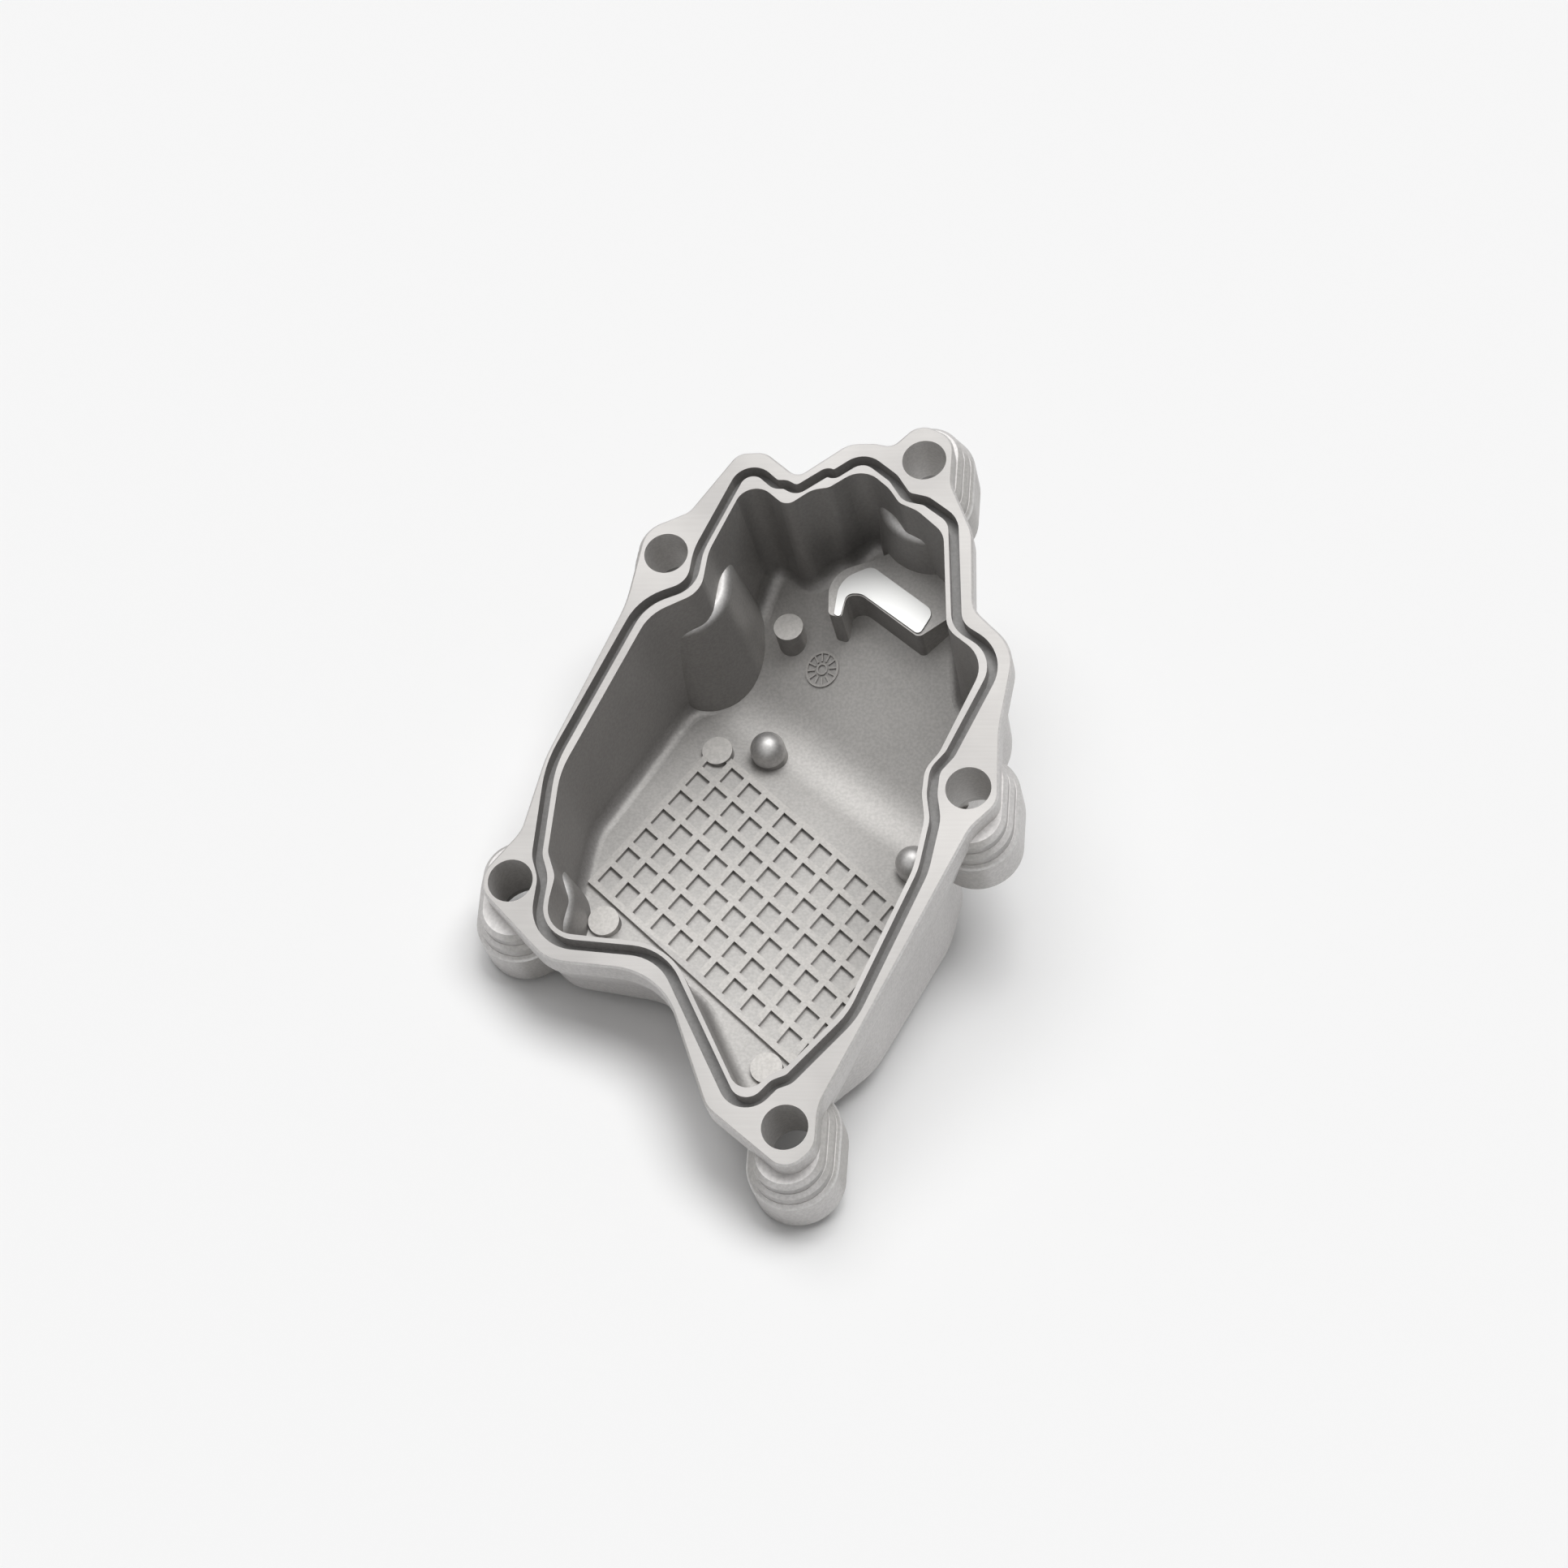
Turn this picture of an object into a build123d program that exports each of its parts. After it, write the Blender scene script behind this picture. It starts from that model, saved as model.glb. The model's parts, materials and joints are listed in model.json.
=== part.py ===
"""Rocker cover, one pressure die casting in aluminium, open side up.

Millimetres. The machined seal face is the plane z = 0 and the body hangs below it.
Every outline below is laid out from the middle of the bolt pattern, and the finished
cover is moved so that its origin is the centre of the right-hand bolt hole on the seal
face. +Y runs along the length of the cover, +X across it, +Z out of the open side.
"""
import os
from math import atan2, cos, radians, sin, tan

from build123d import *

os.makedirs("parts", exist_ok=True)

# Driving sizes of the flange
BOLT_HOLE_D = 6.4
FLANGE_T = 4.0
SKIRT_END_Z = -13.0
SKIRT_IN = 2.4
GROOVE_W = 1.5
GROOVE_DEPTH = 2.4
EDGE_BREAK = 0.3

# Bolt holes, clockwise from the top
HOLE_TOP = (21.2, 52.6)
HOLE_RIGHT = (30.4, 0.5)
HOLE_BOTTOM = (8.5, -49.3)
HOLE_LOWER_LEFT = (-32.9, -13.7)
HOLE_UPPER_LEFT = (-15.4, 37.8)
HOLES = (HOLE_TOP, HOLE_RIGHT, HOLE_BOTTOM, HOLE_LOWER_LEFT, HOLE_UPPER_LEFT)

# Bolt bosses: three steps below the flange, each wider than the last, long along Y
BOSS_STRETCH = 2.5
BOSS_STEPS = ((5.0, -3.2), (5.7, -5.4), (6.4, -7.6))
BOSS_END_Z = -15.0
BOSS_EDGE = 0.6
HEAD_RECESS_D = 10.4
HEAD_RECESS_DEPTH = 5.0

# The floor is two flat panels that meet in a soft bend, the deepest line of the cover
BEND_ACROSS = (0.6, 0.8)
BEND_OFFSET = 17.1
BEND_DEPTH = 31.0
BEND_R = 14.0
SLOPE_LOW_PANEL = 0.34
SLOPE_HIGH_PANEL = 0.37
PROFILE_REACH = 80.0
WALL = 2.8
FLOOR_T = 2.5
DRAFT = 1.5
CORE_DEPTH = 40.0
FLOOR_EDGE_R = 2.2
BODY_EDGE_R = 3.6

# Bulges of the cavity wall round the bolt bosses
BULGE_DRAFT = 6.0
BULGE_STRETCH = 0.8
BULGE_TOP_Z = -8.0
BULGE_SHOULDER_R = 2.0
BULGES = ((HOLE_UPPER_LEFT, 7.9), (HOLE_LOWER_LEFT, 6.9), (HOLE_TOP, 7.8))

# Level plateau in the high panel, with a hook-shaped machined land on it
PLATFORM_Z = -17.0
LAND_Z = -16.7

# Ejector pads, tall peg and domed bosses
PAD_D = 4.5
PAD_H = 1.4
PADS = ((-11.1, 19.2), (-22.9, -13.0), (2.5, -35.3))
PEG_D = 4.4
PEG_H = 4.6
PEG_AT = (-1.0, 37.2)
DOME_R = 2.6
DOME_H = 6.4
DOMES = ((-3.6, 19.6), (19.2, 1.2))

# Waffle grid of raised bars on the low panel
GRID_CORNER = (-25.6, -6.0)
GRID_UP_PITCH = 4.2
GRID_UP_ANGLE = 61.8
GRID_UP_CELLS = 7
GRID_ALONG_PITCH = 3.76
GRID_ALONG_ANGLE = -41.4
GRID_ALONG_CELLS = 12
GRID_BAR_W = 1.05
GRID_BAR_H = 0.75

# Casting date wheel: a plain ring with ticks
WHEEL_AT = (3.7, 32.5)
WHEEL_D = 5.2
WHEEL_RING_W = 0.35
WHEEL_TICKS = 12
WHEEL_H = 0.35
WHEEL_HUB_D = 1.7
WHEEL_LINE_W = 0.23
WHEEL_TICK_L = 1.3

# Outlines as corners (x, y, corner radius), clockwise
FLANGE_CORNERS = (
    (-32.2, -6.0, 6.0), (-29.9, 5.5, 20.0), (-20.6, 29.8, 20.0), (-18.9, 41.8, 4.6),
    (-12.6, 44.7, 3.0), (-6.2, 54.3, 2.5), (-2.2, 54.4, 3.0), (2.8, 50.2, 1.8),
    (10.0, 55.6, 4.0), (13.8, 55.6, 4.0), (16.4, 55.0, 2.0), (20.2, 58.9, 3.0),
    (25.4, 56.2, 3.8), (25.4, 48.6, 4.0), (28.9, 40.6, 6.0), (29.65, 28.35, 4.0),
    (35.9, 22.1, 7.0), (34.3, 9.5, 20.0), (34.7, -1.8, 3.5), (31.0, -5.6, 6.0),
    (12.9, -46.2, 8.0), (12.9, -52.3, 3.8), (9.0, -55.8, 3.2), (-2.5, -46.7, 5.0),
    (-10.4, -27.3, 11.0), (-26.6, -25.7, 7.0), (-36.9, -15.4, 3.5), (-36.9, -12.2, 3.5),
)
GROOVE_CORNERS = (
    (-29.0, 4.2, 18.0), (-18.2, 29.9, 8.0), (-11.2, 32.6, 4.0), (-10.7, 38.2, 10.0),
    (-4.6, 52.9, 2.6), (-0.3, 48.95, 1.5), (1.2, 48.9, 1.2), (2.9, 47.9, 1.5),
    (7.2, 50.9, 1.0), (8.2, 50.4, 1.0), (12.4, 53.4, 3.0), (16.9, 49.7, 3.0),
    (18.97, 46.58, 2.0), (21.9, 45.85, 2.5), (25.95, 42.7, 3.5), (27.4, 25.7, 4.0),
    (34.2, 21.1, 5.8), (27.6, 5.7, 3.0), (25.6, 3.2, 3.0), (25.4, -0.4, 6.0),
    (26.1, -4.2, 6.0), (24.9, -12.0, 12.0), (16.6, -33.3, 12.0), (8.6, -42.5, 2.0),
    (6.6, -43.3, 2.0), (2.3, -48.3, 3.2), (-10.5, -24.4, 8.0), (-28.9, -22.75, 6.0),
    (-28.3, -13.2, 5.0), (-29.5, -9.8, 4.0),
)
CAVITY_CORNERS = (
    (-27.5, 3.0, 14.0), (-17.0, 27.9, 7.0), (-9.8, 31.5, 4.0), (-9.2, 38.0, 8.0),
    (-4.2, 50.3, 3.0), (1.55, 45.3, 1.8), (5.2, 48.0, 4.0), (7.6, 48.3, 2.0),
    (12.4, 51.6, 3.8), (16.4, 48.0, 6.0), (18.0, 45.6, 2.0), (20.7, 44.3, 5.0),
    (24.7, 40.6, 3.8), (26.0, 25.2, 4.0), (31.9, 20.4, 5.0), (26.1, 6.0, 5.0),
    (24.2, 3.4, 4.0), (24.0, -0.4, 5.0), (24.6, -4.2, 6.0), (23.5, -11.6, 12.0),
    (15.4, -32.4, 12.0), (8.1, -40.8, 4.0), (5.8, -42.0, 2.0), (2.3, -45.5, 2.6), (-9.5, -23.2, 10.0),
    (-27.2, -21.3, 4.2), (-27.1, -16.4, 3.0), (-26.6, -13.0, 3.0), (-28.0, -9.3, 3.0),
)
PLATFORM_CORNERS = (
    (5.8, 36.7, 0.8), (5.4, 43.4, 4.6), (12.0, 45.6, 3.0), (20.0, 49.6, 2.0),
    (32.0, 49.6, 2.0), (32.0, 42.0, 2.0), (19.4, 32.7, 1.0), (10.5, 39.75, 2.2),
    (8.35, 39.75, 1.2), (7.76, 35.94, 0.6),
)
LAND_CORNERS = (
    (6.66, 36.45, 0.5), (7.15, 42.33, 4.2), (11.8, 44.43, 1.6), (21.46, 36.85, 1.6),
    (19.48, 33.0, 0.7), (10.56, 39.9, 2.2), (8.33, 39.95, 1.2), (7.64, 36.1, 0.4),
)

MIN_CORNER_R = 0.3

# How far a feature reaches into the floor under it, and a cut past the face it leaves
ROOT = 1.0

# Edges this close to the top rim, or this upright, stay sharp when the foot of a wall is rounded
RIM_ZONE = 2.0
UPRIGHT = 0.6

PROFILE_PLANE = Plane(origin=(0, 0, 0), x_dir=(*BEND_ACROSS, 0), z_dir=(BEND_ACROSS[1], -BEND_ACROSS[0], 0))


def across(x, y):
    """Distance of a plan point across the bend."""
    return BEND_ACROSS[0] * x + BEND_ACROSS[1] * y


def low_floor_z(x, y):
    return -BEND_DEPTH + SLOPE_LOW_PANEL * (BEND_OFFSET - across(x, y))


def high_floor_z(x, y):
    return -BEND_DEPTH + SLOPE_HIGH_PANEL * (across(x, y) - BEND_OFFSET)


def outline(corners):
    """A closed face from corners with their own radii."""
    points = [(x, y) for x, y, _ in corners]
    radii = [r for _, _, r in corners]
    return make_face(FilletPolyline(*points, radius=radii, close=True))


def grown(corners, by):
    """The same corners moved so that the outline runs `by` further out, corner radii to match."""
    moved = []
    count = len(corners)
    for i, (x, y, r) in enumerate(corners):
        before = corners[i - 1]
        after = corners[(i + 1) % count]
        arrive = atan2(y - before[1], x - before[0])
        leave = atan2(after[1] - y, after[0] - x)
        turn = atan2(sin(leave - arrive), cos(leave - arrive))
        reach = by / cos(turn / 2)
        out = (arrive + turn / 2) + radians(90)
        grown_r = r + by if turn < 0 else r - by
        moved.append((x + reach * cos(out), y + reach * sin(out), max(grown_r, MIN_CORNER_R)))
    return tuple(moved)


def drafted(corners, top_z, bottom_z):
    """A prism from top_z down to bottom_z that narrows by the casting draft."""
    return narrowing(corners, top_z, bottom_z, (top_z - bottom_z) * tan(radians(DRAFT)))


def narrowing(corners, top_z, bottom_z, inwards):
    """A solid from top_z down to bottom_z whose outline moves inwards on the way down."""
    narrower = grown(corners, -inwards)
    return loft([Pos(0, 0, top_z) * outline(corners), Pos(0, 0, bottom_z) * outline(narrower)], ruled=True)


def stadium(at, radius, stretch):
    """A round-ended face, long along Y."""
    return Pos(*at) * SlotCenterToCenter(2 * stretch, 2 * radius, rotation=90)


def prism(face, top_z, bottom_z):
    return extrude(Pos(0, 0, bottom_z) * face, top_z - bottom_z)


def bent_profile(rise, radius):
    """All space above the bent floor raised by `rise`."""
    low_end = -BEND_DEPTH + rise + SLOPE_LOW_PANEL * (BEND_OFFSET + PROFILE_REACH)
    high_end = -BEND_DEPTH + rise + SLOPE_HIGH_PANEL * (PROFILE_REACH - BEND_OFFSET)
    floor = FilletPolyline(
        (-PROFILE_REACH, low_end), (BEND_OFFSET, -BEND_DEPTH + rise), (PROFILE_REACH, high_end), radius=radius
    )
    top = PROFILE_REACH
    rest = Polyline((PROFILE_REACH, high_end), (PROFILE_REACH, top), (-PROFILE_REACH, top), (-PROFILE_REACH, low_end))
    return extrude(PROFILE_PLANE * make_face(floor + rest), PROFILE_REACH, both=True)


def panel_slab(slope, below, above):
    """Space between two planes parallel to one floor panel. `slope` is signed across the bend."""
    reach = PROFILE_REACH
    start = -BEND_DEPTH - slope * (reach + BEND_OFFSET)
    end = -BEND_DEPTH + slope * (reach - BEND_OFFSET)
    corners = Polyline(
        (-reach, start + below), (reach, end + below), (reach, end + above), (-reach, start + above), close=True
    )
    return extrude(PROFILE_PLANE * make_face(corners), reach, both=True)


def lower_edges(solid):
    """Edges round the foot of a solid, leaving out its top rim and its upright corners."""
    return solid.edges().filter_by(lambda e: e.center().Z < -RIM_ZONE and abs(e.tangent_at(0.5).Z) < UPRIGHT)


def cavity_core():
    core = drafted(CAVITY_CORNERS, 0.0, -CORE_DEPTH)
    core = core & bent_profile(0.0, BEND_R)
    return fillet(lower_edges(core), FLOOR_EDGE_R)


def bulge(at, radius):
    foot_r = radius + (CORE_DEPTH + BULGE_TOP_Z) * tan(radians(BULGE_DRAFT))
    foot = Pos(0, 0, -CORE_DEPTH) * stadium(at, foot_r, BULGE_STRETCH)
    column = extrude(foot, CORE_DEPTH + BULGE_TOP_Z, taper=BULGE_DRAFT)
    return fillet(column.edges().group_by(Axis.Z)[-1], BULGE_SHOULDER_R)


def platform():
    raised = prism(outline(PLATFORM_CORNERS), PLATFORM_Z, -CORE_DEPTH)
    land = prism(outline(LAND_CORNERS), LAND_Z, PLATFORM_Z - ROOT)
    return raised + land


def body_shell():
    walls = drafted(grown(CAVITY_CORNERS, WALL), -EDGE_BREAK, -CORE_DEPTH)
    body = walls & bent_profile(-FLOOR_T, BEND_R + FLOOR_T)
    return fillet(lower_edges(body), BODY_EDGE_R)


def flange():
    """Straight rim with a broken upper edge, and a skirt below it that leads into the body."""
    rim = prism(outline(FLANGE_CORNERS), 0.0, -FLANGE_T)
    rim = chamfer(rim.edges().group_by(Axis.Z)[-1], EDGE_BREAK)
    return rim + narrowing(FLANGE_CORNERS, -FLANGE_T, SKIRT_END_Z, SKIRT_IN)


def bosses():
    steps = []
    for at in HOLES:
        for radius, top_z in BOSS_STEPS:
            step = prism(stadium(at, radius, BOSS_STRETCH), top_z, BOSS_END_Z)
            rims = step.edges().group_by(Axis.Z)
            steps.append(chamfer(rims[0] + rims[-1], BOSS_EDGE))
    return steps


def waffle():
    up = Vector(cos(radians(GRID_UP_ANGLE)), sin(radians(GRID_UP_ANGLE)))
    along = Vector(cos(radians(GRID_ALONG_ANGLE)), sin(radians(GRID_ALONG_ANGLE)))
    corner = Vector(*GRID_CORNER)
    skew = sin(radians(GRID_UP_ANGLE - GRID_ALONG_ANGLE))
    bar = GRID_BAR_W / 2 / skew

    def cell(start_up, end_up, start_along, end_along):
        points = [
            corner + up * u + along * v
            for u, v in ((start_up, start_along), (end_up, start_along), (end_up, end_along), (start_up, end_along))
        ]
        return make_face(Polyline(*points, close=True))

    panel = cell(-bar, GRID_UP_CELLS * GRID_UP_PITCH + bar, -bar, GRID_ALONG_CELLS * GRID_ALONG_PITCH + bar)
    pockets = []
    for i in range(GRID_UP_CELLS):
        for j in range(GRID_ALONG_CELLS):
            pockets.append(
                cell(
                    i * GRID_UP_PITCH + bar, (i + 1) * GRID_UP_PITCH - bar,
                    j * GRID_ALONG_PITCH + bar, (j + 1) * GRID_ALONG_PITCH - bar,
                )
            )
    bars = prism(panel - pockets, 0.0, -CORE_DEPTH)
    return bars & panel_slab(-SLOPE_LOW_PANEL, -ROOT, GRID_BAR_H)


def date_wheel():
    r = WHEEL_D / 2
    ring = Circle(r) - Circle(r - WHEEL_RING_W)
    hub = Circle(WHEEL_HUB_D / 2) - Circle(WHEEL_HUB_D / 2 - WHEEL_LINE_W)
    tick = Pos(r - WHEEL_RING_W / 2 - WHEEL_TICK_L / 2, 0) * Rectangle(WHEEL_TICK_L, WHEEL_LINE_W)
    face = ring + hub + [Rot(0, 0, 360 / WHEEL_TICKS * k) * tick for k in range(WHEEL_TICKS)]
    marks = prism(Pos(*WHEEL_AT) * face, 0.0, -CORE_DEPTH)
    return marks & panel_slab(SLOPE_HIGH_PANEL, -ROOT, WHEEL_H)


def post(at, diameter, floor_z, height):
    return prism(Pos(*at) * Circle(diameter / 2), floor_z + height, floor_z - ROOT)


def domed_post(at):
    floor_z = -BEND_DEPTH
    straight = prism(Pos(*at) * Circle(DOME_R), floor_z + DOME_H - DOME_R, floor_z - ROOT)
    return straight + Pos(at[0], at[1], floor_z + DOME_H - DOME_R) * Sphere(DOME_R)


def rocker_cover():
    cover = body_shell() + flange() + bosses()
    core = cavity_core()
    core = core - [bulge(at, radius) for at, radius in BULGES] - platform()
    cover = cover - core
    for at in PADS:
        cover += post(at, PAD_D, low_floor_z(*at), PAD_H)
    cover += post(PEG_AT, PEG_D, high_floor_z(*PEG_AT), PEG_H)
    for at in DOMES:
        cover += domed_post(at)
    cover += waffle()
    cover += date_wheel()
    groove = outline(grown(GROOVE_CORNERS, GROOVE_W / 2)) - outline(grown(GROOVE_CORNERS, -GROOVE_W / 2))
    cover -= prism(groove, 0.0, -GROOVE_DEPTH)
    for at in HOLES:
        cover -= prism(Pos(*at) * Circle(BOLT_HOLE_D / 2), ROOT, BOSS_END_Z - ROOT)
        recess = Pos(*at) * Circle(HEAD_RECESS_D / 2)
        cover -= prism(recess, BOSS_END_Z + HEAD_RECESS_DEPTH, BOSS_END_Z - ROOT)
    return cover


cover = Pos(-HOLE_RIGHT[0], -HOLE_RIGHT[1], 0) * rocker_cover()
cover.label = "rocker_cover"
export_step(cover, "parts/rocker_cover.step")
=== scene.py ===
"""A die-cast rocker cover lying open side up on a pale table, under soft studio light."""

import json
from math import cos, radians, sin

import bpy
from mathutils import Matrix, Vector

MM_PER_M = 1000.0
IN_PLAN = (1.0, 1.0, 0.0)

# The picture and the camera. Lengths are in metres, picture coordinates in pixels of a 1932 square.
PICTURE_SIDE = 1932.0
FOCAL_PX = 4600.0
PX_PER_M = 8870.0
SENSOR_MM = 36.0
CLIP_RANGE = (0.01, 20.0)
PATTERN_MIDDLE = Vector((-0.0304, -0.0005, 0.0))
PATTERN_MIDDLE_PX = (925.0, 975.0)
SEAL_LEAN = radians(27.0)
DEPTH_DIRECTION_PX = (0.35, 0.94)

# The table goes through the ends of two bosses and the ridge of the bent floor.
TABLE_NORMAL = Vector((0.2117, 0.2462, 0.9458))
TABLE_POINT = Vector((-0.0357, 0.0171, -0.0321))
TABLE_SIDE = 4.0
TABLE_COLOUR = (0.89, 0.89, 0.89, 1.0)
TABLE_ROUGHNESS = 0.9
BACKDROP_COLOUR = (0.922, 0.922, 0.922, 1.0)

# The world, and the suns: name, strength, softness in degrees, side that the light comes from
WORLD_STRENGTH = 0.34
SUNS = (
    ("key", 1.58, 34.0, Vector((0.34, 0.36, 0.87))),
    ("sheen", 0.9, 38.0, Vector((-0.13, 0.5, 0.86))),
    ("fill_right", 0.06, 60.0, Vector((0.9, -0.3, 0.1))),
)

# Tones of the metal, with painted light and painted shade on some faces
CAST_FLOOR = (0.42, 0.408, 0.394, 1.0)
# Painted shade: the inside walls of the tub get this darker tone
CAST_PAINTED_SHADE_INSIDE = (0.28, 0.270, 0.263, 1.0)
# Painted light: the outer faces and the level ledges of the boss steps get this lighter tone
CAST_PAINTED_LIGHT_OUTSIDE = (0.55, 0.536, 0.527, 1.0)
# Painted light: the tops of the grid bars, the date wheel and the pads get this lighter tone
CAST_PAINTED_LIGHT_RAISED = (0.46, 0.445, 0.426, 1.0)
# Painted highlight: the bulge shoulders and the domes get this lighter tone
CAST_PAINTED_HIGHLIGHT = (0.52, 0.511, 0.502, 1.0)
# Painted shade: the upright riser walls round the bolt bosses get this darker tone
CAST_PAINTED_SHADE_RISER = (0.41, 0.40, 0.393, 1.0)
# Painted light: the walls of the bolt holes get this lighter tone
BORE_PAINTED_LIGHT = (0.58, 0.567, 0.554, 1.0)
# Painted shade: the floor of the seal groove gets this dark tone
GROOVE_PAINTED_SHADE = (0.21, 0.206, 0.202, 1.0)
MACHINED = (0.31, 0.30, 0.291, 1.0)
# Painted light: the machined land gets a far lighter tone than the seal face
LAND_PAINTED_LIGHT = (0.66, 0.66, 0.65, 1.0)

# Surface of cast and of machined faces, and what smooth cast faces have over the other ones
METALLIC = (0.45, 0.6)
ROUGHNESS = (0.5, 0.38)
SMOOTH_METALLIC = 0.35
BUMP_STRENGTH = 0.5
BUMP_DISTANCE = 0.00002

# Noise on the metal: scale, detail, and how far it takes a tone down and up
NOISE_BAND = (0.3, 0.7)
GRAIN = (2300.0, 3.0)
GRAIN_TONE = (0.92, 1.08)
MOTTLE = (70.0, 4.0)
MOTTLE_TONE = (-0.04, 0.04)
SHEEN = (45.0, 3.0)
SHEEN_TONE = (0.88, 1.1)
MARKS = (1.0, 2.0)
MARKS_STRETCH = (60.0, 2600.0, 60.0)
MARKS_TONE = (-0.02, 0.02)

# The two floor panels in the row frame: normal, slope along x and y, height at the origin
LOW_PANEL = ((0.193, 0.258, 0.947), (0.204, 0.272), -0.03152)
HIGH_PANEL = ((-0.208, -0.277, 0.938), (-0.222, -0.296), -0.03043)
BAR_HEIGHT = 0.00075
WHEEL_HEIGHT = 0.00035
RAISED_TOLERANCE = 0.2

# Heights in the row frame, where the seal face is at nought. A pair is a lower and upper limit.
SEAL_FACE_OVER = -0.0001
GROOVE_DEPTH = -0.0024
LAND_HEIGHT = -0.0167
LEVEL_TOLERANCE = 0.00005
PLATEAU_HEIGHT = -0.017
PLATEAU_TOLERANCE = 0.0002
PAD_TOPS = (-0.029, -0.012)
BULGE_SHOULDERS = (-0.0101, -0.00795)
BOSS_STEPS = (-0.0079, -0.0030)
BOSS_RISERS = (-0.0077, -0.0042)

# Reach from a middle or an axis: of the domed bosses, past a bore's wall, and round a bolt boss
DOMES = ((-0.0340, 0.0191, -0.0272), (-0.0112, 0.0007, -0.0272))
DOME_REACH = 0.0028
BORE_MARGIN = 0.0001
BOSS_REACH = (0.0092, 0.0074)

# Directions of faces: from the first on a face is parallel to its plane, and a pair is a ramp
PARALLEL = 0.995
OUTWARD = (0.35, 0.65)
INWARD = (-0.35, -0.65)
SHOULDER_FOOT = (0.1, 0.6)
SHOULDER_TOP = (0.99, 0.9)
UPRIGHT = (0.7, 0.2)


def camera_frame():
    """Camera matrix in the row frame: the lens looks straight into the picture plane."""
    length = (DEPTH_DIRECTION_PX[0] ** 2 + DEPTH_DIRECTION_PX[1] ** 2) ** 0.5
    right, down = (c / length for c in DEPTH_DIRECTION_PX)
    seal_normal = Vector((-right * sin(SEAL_LEAN), -down * sin(SEAL_LEAN), -cos(SEAL_LEAN)))
    up = Vector((0.0, -1.0, 0.0))
    along = (up - seal_normal * up.dot(seal_normal)).normalized()
    across = along.cross(seal_normal)
    row_to_lens = Matrix((across, along, seal_normal)).transposed()
    distance = FOCAL_PX / PX_PER_M
    centre = PICTURE_SIDE / 2
    middle = Vector(
        (
            (PATTERN_MIDDLE_PX[0] - centre) / FOCAL_PX * distance,
            (PATTERN_MIDDLE_PX[1] - centre) / FOCAL_PX * distance,
            distance,
        )
    )
    lens_to_row = row_to_lens.transposed()
    flip = Matrix(((1, 0, 0), (0, -1, 0), (0, 0, -1)))
    matrix = (lens_to_row @ flip).to_4x4()
    matrix.translation = PATTERN_MIDDLE - lens_to_row @ middle
    return matrix


def add_camera(scene):
    data = bpy.data.cameras.new("camera")
    data.sensor_width = SENSOR_MM
    data.lens = FOCAL_PX / PICTURE_SIDE * SENSOR_MM
    data.clip_start, data.clip_end = CLIP_RANGE
    camera = bpy.data.objects.new("camera", data)
    scene.collection.objects.link(camera)
    camera.matrix_world = camera_frame()
    scene.camera = camera


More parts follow.
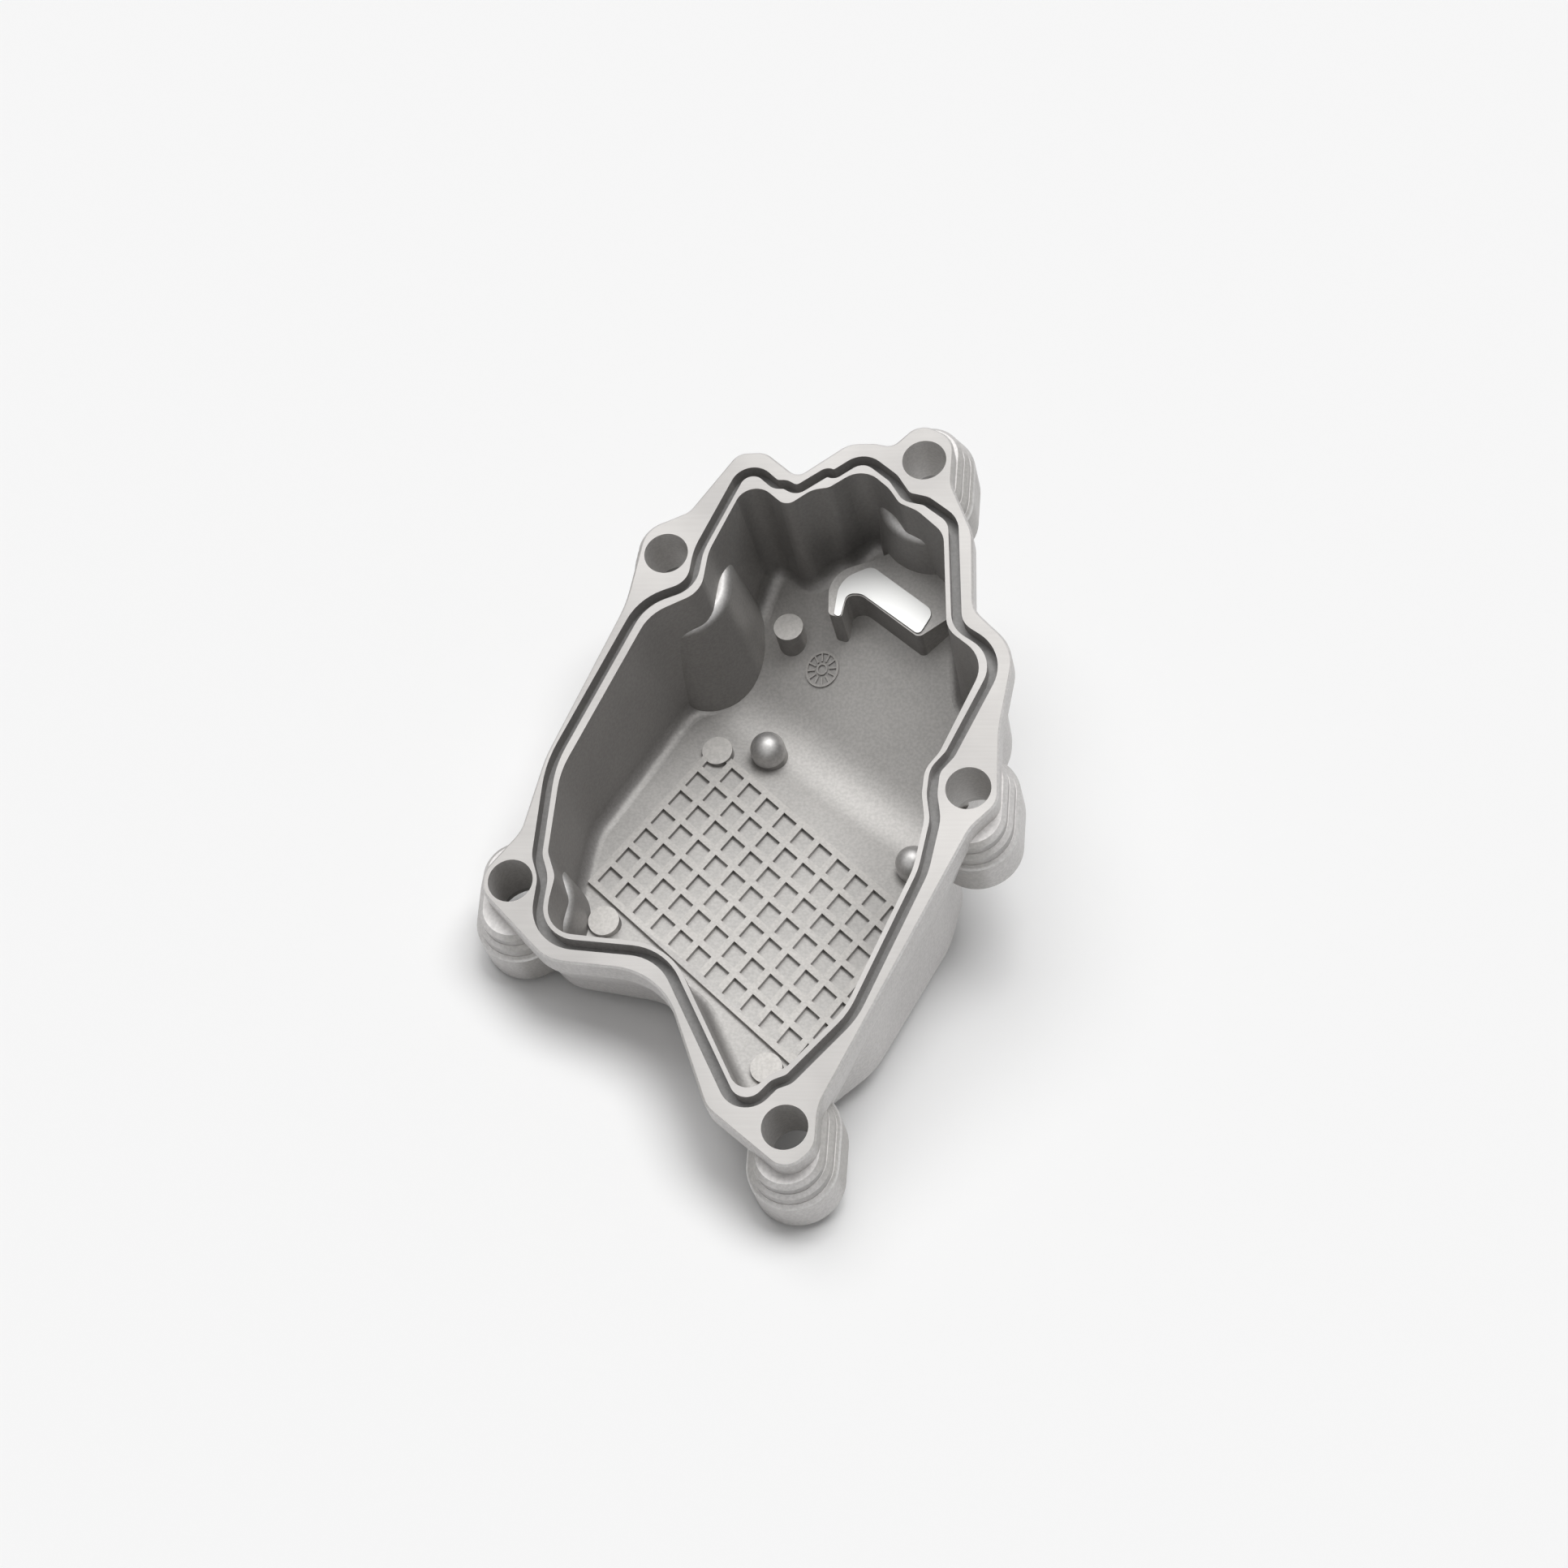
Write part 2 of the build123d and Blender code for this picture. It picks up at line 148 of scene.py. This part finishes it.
class Nodes:
    """A short way to add and join shader nodes."""

    def __init__(self, tree):
        self.tree = tree
        tree.nodes.clear()

    def add(self, kind, **settings):
        node = self.tree.nodes.new(kind)
        for name, value in settings.items():
            setattr(node, name, value)
        return node

    def join(self, source, target):
        self.tree.links.new(source, target)

    def put(self, value, socket):
        """Join a socket's output, or set a plain value."""
        if isinstance(value, bpy.types.NodeSocket):
            self.join(value, socket)
        else:
            socket.default_value = value

    def math(self, operation, *values, clamp=False):
        node = self.add("ShaderNodeMath", operation=operation, use_clamp=clamp)
        for socket, value in zip(node.inputs, values):
            self.put(value, socket)
        return node.outputs[0]

    def all_of(self, *masks):
        """The product of several masks."""
        product = masks[0]
        for mask in masks[1:]:
            product = self.math("MULTIPLY", product, mask)
        return product

    def any_of(self, *masks):
        """The largest of several masks."""
        largest = masks[0]
        for mask in masks[1:]:
            largest = self.math("MAXIMUM", largest, mask)
        return largest

    def near(self, value, target, tolerance):
        """1 where the value is within the tolerance of the target, else 0."""
        return self.math("COMPARE", value, target, tolerance)

    def between(self, value, limits):
        """1 where the value lies between the two limits, else 0."""
        low, high = limits
        over = self.math("GREATER_THAN", value, low)
        return self.all_of(over, self.math("LESS_THAN", value, high))

    def ramp(self, value, start, end, low=0.0, high=1.0):
        """A smooth step of the value from start to end, given as low to high."""
        node = self.add("ShaderNodeMapRange", interpolation_type="SMOOTHSTEP")
        for socket, setting in zip(node.inputs, (value, start, end, low, high)):
            self.put(setting, socket)
        return node.outputs[0]

    def split(self, vector):
        """The X, Y and Z of a vector."""
        node = self.add("ShaderNodeSeparateXYZ")
        self.join(vector, node.inputs[0])
        return tuple(node.outputs)

    def vector(self, operation, *values):
        node = self.add("ShaderNodeVectorMath", operation=operation)
        for socket, value in zip(node.inputs, values):
            self.put(value, socket)
        return node

    def dot(self, first, second):
        return self.vector("DOT_PRODUCT", first, second).outputs["Value"]

    def distance(self, first, second):
        return self.vector("DISTANCE", first, second).outputs["Value"]

    def outwardness(self, spot, normal):
        """How far a face looks away from the middle of the cover, from -1 to 1, seen in plan."""
        from_middle = self.vector("SUBTRACT", spot, tuple(PATTERN_MIDDLE)).outputs[0]
        in_plan = self.stretched(from_middle, IN_PLAN)
        return self.dot(self.vector("NORMALIZE", in_plan).outputs[0], normal)

    def over_panel(self, spot, normal, panel, height):
        """1 on faces that lie parallel to a floor panel at the given height over it, else 0."""
        panel_normal, slope, level = panel
        x, y, z = self.split(spot)
        over = self.math("SUBTRACT", z, level)
        for place, rise in zip((x, y), slope):
            over = self.math("ADD", over, self.math("MULTIPLY", place, rise))
        parallel = self.math("GREATER_THAN", self.dot(normal, panel_normal), PARALLEL)
        return self.all_of(parallel, self.near(over, height, RAISED_TOLERANCE * height))

    def stretched(self, spot, factors):
        return self.vector("MULTIPLY", spot, factors).outputs[0]

    def noise(self, spot, scale, detail):
        node = self.add("ShaderNodeTexNoise")
        node.inputs["Scale"].default_value = scale
        node.inputs["Detail"].default_value = detail
        self.join(spot, node.inputs["Vector"])
        return node.outputs[0]

    def blend(self, share, first, second):
        """A colour that goes from the first to the second."""
        node = self.add("ShaderNodeMix", data_type="RGBA")
        self.put(share, node.inputs["Factor"])
        self.put(first, node.inputs[6])
        self.put(second, node.inputs[7])
        return node.outputs[2]

    def scale(self, colour, factor):
        """A colour made lighter or darker by a factor."""
        node = self.add("ShaderNodeVectorMath", operation="SCALE")
        self.put(colour[:3] if isinstance(colour, tuple) else colour, node.inputs[0])
        self.put(factor, node.inputs["Scale"])
        return node.outputs[0]


def round_bores(n, spot, bores):
    """Masks of the walls of the bolt holes and of what lies round them."""
    in_plan = n.stretched(spot, IN_PLAN)
    walls, around = [], []
    for bore in bores:
        x, y, _ = bore["pos_m"]
        reach = n.distance(in_plan, (x, y, 0.0))
        radius = bore["dims"]["r_mm"] / MM_PER_M
        walls.append(n.math("LESS_THAN", reach, radius + BORE_MARGIN))
        around.append(n.ramp(reach, *BOSS_REACH))
    return n.any_of(*walls), n.any_of(*around)


def face_masks(n, spot, normal, bores):
    """Masks that tell the faces of the cover apart by their place and direction."""
    height = n.split(spot)[2]
    rise = n.split(normal)[2]
    level = n.math("GREATER_THAN", rise, PARALLEL)
    outward = n.outwardness(spot, normal)
    outside = n.ramp(outward, *OUTWARD)

    bars = n.over_panel(spot, normal, LOW_PANEL, BAR_HEIGHT)
    wheel = n.over_panel(spot, normal, HIGH_PANEL, WHEEL_HEIGHT)
    pads = n.all_of(level, n.between(height, PAD_TOPS))
    plateau = n.near(height, PLATEAU_HEIGHT, PLATEAU_TOLERANCE)

    shoulder_rise = n.all_of(n.ramp(rise, *SHOULDER_FOOT), n.ramp(rise, *SHOULDER_TOP))
    shoulders = n.all_of(n.between(height, BULGE_SHOULDERS), shoulder_rise)
    domes = [n.math("LESS_THAN", n.distance(spot, middle), DOME_REACH) for middle in DOMES]

    bored, near_boss = round_bores(n, spot, bores)
    boss_steps = n.all_of(level, n.between(height, BOSS_STEPS))
    upright = n.ramp(n.math("ABSOLUTE", rise), *UPRIGHT)
    return {
        "seal_face": n.all_of(level, n.math("GREATER_THAN", height, SEAL_FACE_OVER)),
        "land": n.all_of(level, n.near(height, LAND_HEIGHT, LEVEL_TOLERANCE)),
        # painted shade on the floor of the seal groove
        "groove": n.all_of(level, n.near(height, GROOVE_DEPTH, LEVEL_TOLERANCE)),
        # painted shade on the inside walls, which look towards the middle
        "inside_wall": n.ramp(outward, *INWARD),
        # painted light on the outer faces and on the ledges of the boss steps
        "outside": n.any_of(outside, boss_steps),
        # painted shade on the upright risers of the boss steps
        "risers": n.all_of(near_boss, upright, n.between(height, BOSS_RISERS), outside),
        # painted light on the tops of the bars, the wheel and the pads
        "raised": n.math("SUBTRACT", n.any_of(bars, wheel, pads), plateau, clamp=True),
        # painted highlight on the bulge shoulders and the domes, which also get more metallic and
        # no bump
        "smooth_and_painted_highlight": n.any_of(shoulders, *domes),
        # painted light on the walls of the bolt holes
        "bored": bored,
    }


def metal_tone(n, spot, masks, grain):
    """Base colour: cast faces with their grain, painted light and painted shade, then the machined
    faces over them.
    """
    # painted shade: inside walls darker than the cast floor
    tone = n.blend(masks["inside_wall"], CAST_FLOOR, CAST_PAINTED_SHADE_INSIDE)
    for name, colour in (
        ("outside", CAST_PAINTED_LIGHT_OUTSIDE),
        ("risers", CAST_PAINTED_SHADE_RISER),
        ("raised", CAST_PAINTED_LIGHT_RAISED),
        ("smooth_and_painted_highlight", CAST_PAINTED_HIGHLIGHT),
        ("groove", GROOVE_PAINTED_SHADE),
        ("bored", BORE_PAINTED_LIGHT),
    ):
        tone = n.blend(masks[name], tone, colour)
    mottle = n.noise(spot, *MOTTLE)
    speckle = n.math(
        "ADD", n.ramp(grain, *NOISE_BAND, *GRAIN_TONE), n.ramp(mottle, *NOISE_BAND, *MOTTLE_TONE)
    )
    tone = n.scale(tone, speckle)

    sheen = n.noise(spot, *SHEEN)
    marks = n.noise(n.stretched(spot, MARKS_STRETCH), *MARKS)
    polish = n.math(
        "ADD", n.ramp(sheen, *NOISE_BAND, *SHEEN_TONE), n.ramp(marks, *NOISE_BAND, *MARKS_TONE)
    )
    tone = n.blend(masks["seal_face"], tone, n.scale(MACHINED, polish))
    # painted light: the land lighter than the machined seal face
    return n.blend(masks["land"], tone, LAND_PAINTED_LIGHT)


def metal(bores):
    """Cast aluminium, machined on the seal face and on the land, with painted light and shade in
    its base colour.
    """
    material = bpy.data.materials.new("cast_aluminium")
    material.use_nodes = True
    n = Nodes(material.node_tree)
    out = n.add("ShaderNodeOutputMaterial")
    shader = n.add("ShaderNodeBsdfPrincipled")
    n.join(shader.outputs[0], out.inputs["Surface"])

    place = n.add("ShaderNodeTexCoord")
    spot = place.outputs["Object"]
    grain = n.noise(spot, *GRAIN)
    masks = face_masks(n, spot, place.outputs["Normal"], bores)
    n.join(metal_tone(n, spot, masks, grain), shader.inputs["Base Color"])

    machined = n.math("ADD", masks["seal_face"], masks["land"], clamp=True)
    gloss = n.math("MULTIPLY", masks["smooth_and_painted_highlight"], SMOOTH_METALLIC)
    metallic = n.math("ADD", n.ramp(machined, 0.0, 1.0, *METALLIC), gloss)
    n.join(metallic, shader.inputs["Metallic"])
    n.join(n.ramp(machined, 0.0, 1.0, *ROUGHNESS), shader.inputs["Roughness"])

    bump = n.add("ShaderNodeBump")
    bump.inputs["Distance"].default_value = BUMP_DISTANCE
    flat = n.any_of(machined, masks["smooth_and_painted_highlight"])
    n.join(n.ramp(flat, 0.0, 1.0, BUMP_STRENGTH, 0.0), bump.inputs["Strength"])
    n.join(grain, bump.inputs["Height"])
    n.join(bump.outputs[0], shader.inputs["Normal"])
    return material


def table_material():
    """Pale table that is clear when looked at from below."""
    material = bpy.data.materials.new("table")
    material.use_nodes = True
    n = Nodes(material.node_tree)
    out = n.add("ShaderNodeOutputMaterial")
    shader = n.add("ShaderNodeBsdfPrincipled")
    shader.inputs["Base Color"].default_value = TABLE_COLOUR
    shader.inputs["Roughness"].default_value = TABLE_ROUGHNESS
    clear = n.add("ShaderNodeBsdfTransparent")
    side = n.add("ShaderNodeNewGeometry")
    mix = n.add("ShaderNodeMixShader")
    n.join(side.outputs["Backfacing"], mix.inputs[0])
    n.join(shader.outputs[0], mix.inputs[1])
    n.join(clear.outputs[0], mix.inputs[2])
    n.join(mix.outputs[0], out.inputs["Surface"])
    return material


def add_table(scene):
    half = TABLE_SIDE / 2
    corners = ((-half, -half, 0), (half, -half, 0), (half, half, 0), (-half, half, 0))
    mesh = bpy.data.meshes.new("table")
    mesh.from_pydata(corners, [], [(0, 1, 2, 3)])
    table = bpy.data.objects.new("table", mesh)
    scene.collection.objects.link(table)
    turn = TABLE_NORMAL.normalized().to_track_quat("Z", "Y").to_matrix().to_4x4()
    turn.translation = TABLE_POINT
    table.matrix_world = turn
    table.data.materials.append(table_material())


def add_light(scene):
    world = bpy.data.worlds.new("studio")
    scene.world = world
    world.use_nodes = True
    n = Nodes(world.node_tree)
    out = n.add("ShaderNodeOutputWorld")
    soft = n.add("ShaderNodeBackground")
    soft.inputs["Strength"].default_value = WORLD_STRENGTH
    backdrop = n.add("ShaderNodeBackground")
    backdrop.inputs["Color"].default_value = BACKDROP_COLOUR
    path = n.add("ShaderNodeLightPath")
    mix = n.add("ShaderNodeMixShader")
    rays = (path.outputs[f"Is {kind} Ray"] for kind in ("Camera", "Glossy", "Transmission"))
    n.join(n.any_of(*rays), mix.inputs[0])
    n.join(soft.outputs[0], mix.inputs[1])
    n.join(backdrop.outputs[0], mix.inputs[2])
    n.join(mix.outputs[0], out.inputs["Surface"])

    for name, strength, softness, side in SUNS:
        data = bpy.data.lights.new(name, "SUN")
        data.energy = strength
        data.angle = radians(softness)
        sun = bpy.data.objects.new(name, data)
        scene.collection.objects.link(sun)
        sun.rotation_euler = side.to_track_quat("Z", "Y").to_euler()


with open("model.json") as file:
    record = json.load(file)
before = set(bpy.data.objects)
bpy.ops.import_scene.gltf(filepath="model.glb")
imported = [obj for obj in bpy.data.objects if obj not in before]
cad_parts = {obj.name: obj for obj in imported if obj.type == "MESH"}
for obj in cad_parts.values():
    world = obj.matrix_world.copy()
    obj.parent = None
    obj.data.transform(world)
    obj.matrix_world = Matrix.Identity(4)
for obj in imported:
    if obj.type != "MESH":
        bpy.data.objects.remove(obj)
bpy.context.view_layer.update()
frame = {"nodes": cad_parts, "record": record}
scene = bpy.context.scene
scene.view_settings.view_transform = "Standard"

cover = frame["nodes"]["rocker_cover"]
bores = [mount for mount in frame["record"]["mounts"] if mount["kind"] == "bore"]
for material_slot in cover.material_slots:
    material_slot.material = metal(bores)

add_table(scene)
add_light(scene)
add_camera(scene)
